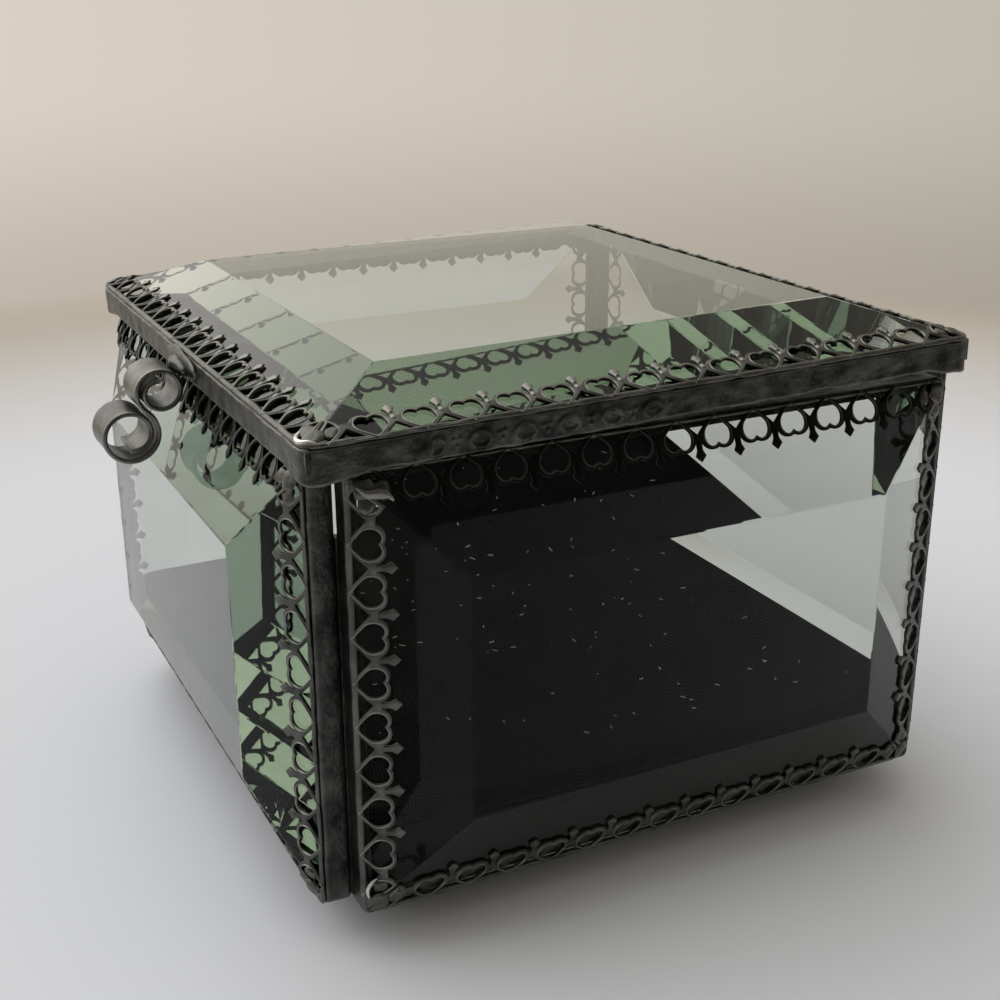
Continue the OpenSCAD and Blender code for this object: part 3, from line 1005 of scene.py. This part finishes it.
    def hang_corners(self, bm, plate, top):
        """Lets the solder's lower edge sag towards the lid's corners."""
        matrix, inverse = plate.matrix(), plate.matrix().inverted()
        limit = top * self.hang_share
        for vertex in bm.verts:
            here = inverse @ vertex.co
            gaps = plate.half_u - abs(here.x), plate.half_v - abs(here.y)
            inset = min(gaps)
            if max(gaps) < plate.corner:
                inset = plate.corner - math.hypot(plate.corner - gaps[0], plate.corner - gaps[1])
            if inset < self.wall and here.z < limit:
                near = max(0.0, 1 - max(gaps) / self.hang_reach)
                edge = min(1.0, 1 - inset / self.wall) * (1 - here.z / limit)
                sag = self.hang * near**0.7 + 0.25 * MM * (1 + wander(here, 2.5, 8))
                here.z -= sag * min(1.0, edge * 1.6)
                vertex.co = matrix @ here

    def relief(self, point, out, top):
        """Stamped pattern on the lid's right-hand edge: rings, with three dots between them."""
        if out.x < 0.9:
            return 0.18 * wander(point, 2.6, 9) + 0.08 * wander(point, 1.1, 2)
        along, up = point.y, point.z
        if not self.seam < along < self.ovals[-1] + 3.5 * MM:
            return 0.26 * wander(point, 2.6, 4) + 0.1 * wander(point, 1.1, 2)
        height = 0.08 * wander(point, 1.3, 2) - 0.1
        middle = top * 0.45
        for oval in self.ovals:
            reach = math.hypot((along - oval) / self.oval_half[0], (up - middle) / self.oval_half[1])
            height += self.stamped * math.exp(-(((reach - 1) / 0.22) ** 2))
            for dx, dz in self.dots:
                away = math.hypot(along - oval - (self.dots_at + dx) * MM, up - middle - dz * MM)
                height += self.stamped * math.exp(-((away / (self.dot_mm * MM)) ** 2))
        return height

    def rail(self, bm, s, plate, seed):
        """An uneven rounded rail of solder where banding and lace meet."""
        thick = 1.35 if plate.name == "lid" else 1.0
        inset = s.rail * thick + 0.04 * MM
        height = plate.rim + 0.22 * MM
        matrix = plate.matrix()
        points = []
        for place in stations(plate.half_u, plate.half_v, plate.corner, 0.9 * MM):
            flat = inset_point(place, plate.corner, inset)
            stray = 0.1 * MM * wander(Vector((flat.x, flat.y, 0)), 5, seed)
            points.append(matrix @ Vector((flat.x, flat.y, height + stray)))

        def section(i, point):
            swell = thick * (1 + 0.28 * wander(point, 3, seed + 5) + 0.12 * wander(point, 1.1, seed))
            return disc(s.rail * swell, 8)

        sweep(bm, points, plate.n, section, closed=True)

    def corners(self, bm, plate, seed):
        """Solder that covers the mitres of the lace at the four corners: a wide puddle and two drops."""
        for k, (su, sv) in enumerate(((1, 1), (1, -1), (-1, 1), (-1, -1))):
            for size_mm, inward, shift in self.puddles:
                at_u, at_v = (inward + shift) * MM, (inward - shift) * MM
                height = plate.rim + 0.15 * MM + min(at_u, at_v) * plate.slope
                spot = Vector((su * (plate.half_u - at_u), sv * (plate.half_v - at_v), height))
                lean = Matrix.Rotation(math.atan(plate.slope), 4, Vector((-sv, su, 0)))
                place = plate.matrix() @ Matrix.Translation(spot) @ lean
                lump(bm, place, size_mm, seed * 5 + k + shift, rough=0.3)


class CASKET_OT_handle(bpy.types.Operator):
    """Curl the handle from one flat ribbon and solder it to the lid"""

    bl_idname = "casket.handle"
    bl_label = "Scroll handle"

    upper, lower, step = 3.7 * MM, 4.5 * MM, 0.55 * MM  # radii of the scrolls, and how they shrink
    thick, width = 0.7 * MM, 8.6 * MM
    lean = math.radians(50)
    out, drop = 5.1 * MM, 1.5 * MM  # centre of the upper scroll, from the lid's lower front edge
    # the rolled edge of the ribbon: share of half its thickness, and distance from its side in mm
    rolled = ((0.2, 0.0), (0.85, 0.08), (1.12, 0.3), (0.95, 0.75))
    flat = 0.92  # the same share along its middle
    # the solder of the joint: place from the lid's front edge and size, in mm
    solder = (((0, -0.1, 2.1), (9, 0.7, 2.4)), ((0, -0.7, 1.6), (4.9, 1.2, 1.5)))

    def execute(self, context):
        lid = PLATES["lid"]
        front = lid.matrix() @ Matrix.Translation((0, -lid.half_v, 0))
        joint = bmesh.new()
        for at, size_mm in self.solder:
            lump(joint, front @ Matrix.Translation(Vector(at) * MM), size_mm, 3, rough=0.2, detail=3)
        add_piece("joint_solder", joint, "lid", "solder", metal("solder_patina"), angle=60)
        ribbon = bmesh.new()
        sweep(ribbon, self.path(front), Vector((1, 0, 0)), self.section)
        add_piece("handle", ribbon, "lid", "fittings", metal("ribbon_patina"), "scroll_handle", angle=50)
        return {"FINISHED"}

    def scroll(self, radius):
        """Points of one scroll, from where it starts on +X to its inner end."""
        inner = radius - self.step
        tip = inner - self.step - self.thick / 2
        turns = (
            (0, radius, 0, -180, 22),
            (-self.step, inner, 180, 0, 20),
            (self.thick / 2, tip, 0, -150, 14),
        )
        points = []
        for centre, r, start, end, count in turns:
            for k in range(count + 1):
                a = math.radians(start + (end - start) * k / count)
                point = Vector((centre + r * math.cos(a), r * math.sin(a)))
                if not points or (point - points[-1]).length > 0.05 * MM:
                    points.append(point)
        return points

    def path(self, front):
        """The S of both scrolls, hung in front of the lid."""
        reach = self.upper + self.lower
        lower = [Vector((reach - p.x, -p.y)) for p in self.scroll(self.lower)]
        turn = math.pi + self.lean
        points = []
        for p in self.scroll(self.upper)[::-1] + lower[1:]:
            y = p.x * math.cos(turn) - p.y * math.sin(turn)
            z = p.x * math.sin(turn) + p.y * math.cos(turn)
            points.append(front @ Vector((0, y - self.out, z - self.drop)))
        return points

    def section(self, i, point):
        """The ribbon's section, a little wavy as it was rolled by hand."""
        half, thick = self.width / 2, self.thick / 2
        edge = [(thick * share, half - inset * MM) for share, inset in self.rolled]
        face = [*edge, (thick * self.flat, 0), *[(x, -y) for x, y in edge[::-1]]]
        both = face + [(-x, y) for x, y in face[::-1]]
        wave, stray = 0.05 * MM * wander(point, 5, 2), 0.08 * MM * wander(point, 9, 6)
        return [(x + wave, y + (stray if abs(y) > half - 1.3 * MM else 0)) for x, y in both]


class CASKET_OT_fittings(bpy.types.Operator):
    """Finish the hinge and the solder in the corners"""

    bl_idname = "casket.fittings"
    bl_label = "Hinge and corner solder"

    # the hinge's nodes, the bodies they ride on and the rounding of their edges
    hinge = (
        ("hinge_tubes_body", "box", 0.15 * MM),
        ("hinge_tubes_lid", "lid", 0.15 * MM),
        ("hinge_pin", "box", 0.35 * MM),
    )
    sides = 8  # of the bead's quarter round
    pinch = 0.75  # narrowing of the bead at its ends

    def execute(self, context):
        for node, body, width in self.hinge:
            bm = bmesh.new()
            rounded_copy(bm, node, width, segments=2)
            name = node.replace("hinge", "rolled")
            add_piece(name, bm, body, "fittings", metal("ribbon_patina"), node, angle=50)
        for end in ("front", "rear"):
            for side in ("left", "right"):
                self.bead(f"{end}_{side}")
        return {"FINISHED"}

    def bead(self, corner):
        """A poured bead down an inner corner, uneven along its length."""
        low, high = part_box("bead_" + corner)
        sx, sy = (1 if low.x > 0 else -1), (1 if low.y > 0 else -1)
        core = Vector((high.x if sx > 0 else low.x, high.y if sy > 0 else low.y, 0))
        radius = high.x - low.x
        count = round((high.z - low.z) / (1.2 * MM))
        bm = bmesh.new()
        rings = []
        for k in range(count + 1):
            middle = core + Vector((0, 0, low.z + (high.z - low.z) * k / count))
            reach = radius * (self.pinch if k in (0, count) else 1.0)
            verts = [bm.verts.new(middle)]
            for step in range(self.sides + 1):
                a = math.pi / 2 * step / self.sides
                out = Vector((-sx * math.cos(a), -sy * math.sin(a), 0))
                point = middle + out * radius
                swell = 1.0
                if 0 < step < self.sides:
                    swell = min(1.04, 1 + 0.06 * wander(point, 6, 1) + 0.04 * wander(point, 1.8, 5))
                verts.append(bm.verts.new(middle + out * reach * swell))
            rings.append(verts)
        rings_to_faces(bm, rings, False)
        bm.faces.new(rings[0])
        bm.faces.new(rings[-1])
        name = "corner_solder_" + corner
        add_piece(name, bm, "box", "solder", metal("solder_patina"), "bead_" + corner, angle=60)


class CASKET_OT_base(bpy.types.Operator):
    """Cover the boards in cloth and lay the velvet pad with its lint"""

    bl_idname = "casket.base"
    bl_label = "Velvet base"

    # the boards and the rounding of their edges
    boards = (("foot_board", 0.9 * MM), ("base_board", 0.6 * MM))
    radius, roll = 6.5 * MM, 1.4 * MM  # the pad's corners and its upper edge
    fibre, fibre_half = (0.2, 1.1), (0.04, 0.08)  # length and half thickness of lint, in mm

    def execute(self, context):
        s = context.scene.casket_velvet
        board = pile_cloth("black_board_cloth", s.board, s.faded, 0.02)
        for node, width in self.boards:
            bm = bmesh.new()
            rounded_copy(bm, node, width, segments=3)
            add_piece(node.replace("board", "block"), bm, "box", "black_board", board, node, angle=50)
        pad = self.pad(s)
        self.lint(s)
        return {"FINISHED"}

    def pad_top(self, x, y, half_x, half_y, crown):
        """Height of the velvet over its rim."""
        fall = (1 - (x / half_x) ** 2) * (1 - (y / half_y) ** 2)
        soft = 0.16 * MM * wander(Vector((x, y, 0)), 16, 8) + 0.06 * MM * wander(Vector((x, y, 0)), 5, 3)
        return (crown + soft) * max(fall, 0) ** 0.5

    def pad(self, s):
        """The velvet pad: a rolled edge and a crowned, slightly uneven top."""
        low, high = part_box("velvet_pad")
        half_x, half_y = (high.x - low.x) / 2, (high.y - low.y) / 2
        middle = (low + high) / 2
        places = stations(half_x, half_y, self.radius, 2.2 * MM, arc=8)
        outline = [inset_point(place, self.radius, 0) for place in places]
        rim = high.z - self.roll
        # rings from the rolled edge to the middle, as shares of the pad's half
        shares = (0.04, 0.06, 0.09, *[0.03 * k for k in range(4, 33)], 0.985)
        steps = [(0.5 * MM, low.z), (0.0, low.z + 0.4 * MM), (0.0, rim)]
        steps += [(self.roll * (1 - math.cos(a)), rim + self.roll * math.sin(a)) for a in (0.5, 1.05, 1.57)]
        steps += [(half_x * share, high.z) for share in shares]
        bm = bmesh.new()
        rings = []
        for inset, z in steps:
            row = []
            for point in outline:
                x, y = point.x * (1 - inset / half_x), point.y * (1 - inset / half_y)
                rise = self.pad_top(x, y, half_x, half_y, s.crown) if z > rim else 0
                row.append(bm.verts.new((middle.x + x, middle.y + y, z + rise)))
            rings.append(row)
        rings_to_faces(bm, rings, False)
        bm.faces.new(rings[0])
        bm.faces.new(rings[-1])
        cloth = pile_cloth("black_velvet", s.deep, s.brushed, 0.05)
        return add_piece("velvet_cushion", bm, "box", "velvet", cloth, "velvet_pad", angle=80)

    def lint(self, s):
        """Loose fibres that lie about on the pad."""
        low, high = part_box("velvet_pad")
        half_x, half_y = (high.x - low.x) / 2, (high.y - low.y) / 2
        draw = random.Random(11)
        pieces = 4
        bm = bmesh.new()
        for _ in range(s.lint):
            x, y = draw.uniform(-0.85, 0.85) * half_x, draw.uniform(-0.85, 0.85) * half_y
            heading, bend = draw.uniform(0, 2 * math.pi), draw.uniform(-1.6, 1.6)
            step = draw.uniform(*self.fibre) * MM / pieces
            points = []
            for k in range(pieces + 1):
                turn = heading + bend * k / pieces
                x, y = x + step * math.cos(turn), y + step * math.sin(turn)
                top = high.z + self.pad_top(x, y, half_x, half_y, s.crown)
                points.append(Vector((x, y, top + 0.05 * MM)))
            thick = draw.uniform(*self.fibre_half) * MM
            sweep(bm, points, Vector((0, 0, 1)), lambda i, p: disc(thick, 4))
        add_piece("lint", bm, "box", "velvet", lint_fibre(s.lint_grey, s.lint_white), smooth=False)


OPERATORS = (
    CASKET_OT_camera,
    CASKET_OT_stage,
    CASKET_OT_glass,
    CASKET_OT_lace,
    CASKET_OT_banding,
    CASKET_OT_handle,
    CASKET_OT_fittings,
    CASKET_OT_base,
)


class CASKET_PT_panel(bpy.types.Panel):
    """Lists the casket's pieces in the sidebar"""

    bl_idname = "CASKET_PT_panel"
    bl_label = "Glass Casket"
    bl_space_type = "VIEW_3D"
    bl_region_type = "UI"
    bl_category = "Casket"

    def draw(self, context):
        for operator in OPERATORS:
            self.layout.operator(operator.bl_idname)


def register():
    for cls in (*GROUPS.values(), *OPERATORS, CASKET_PT_panel):
        bpy.utils.register_class(cls)
    for name, group in GROUPS.items():
        setattr(bpy.types.Scene, name, bpy.props.PointerProperty(type=group))


def unregister():
    for name in GROUPS:
        delattr(bpy.types.Scene, name)
    for cls in reversed((*GROUPS.values(), *OPERATORS, CASKET_PT_panel)):
        bpy.utils.unregister_class(cls)


def corners(box):
    return [list(corner) for corner in box]


def main():
    register()
    for operator in OPERATORS:
        group, call = operator.bl_idname.split(".")
        getattr(getattr(bpy.ops, group), call)()


if __name__ == "__main__":
    main()
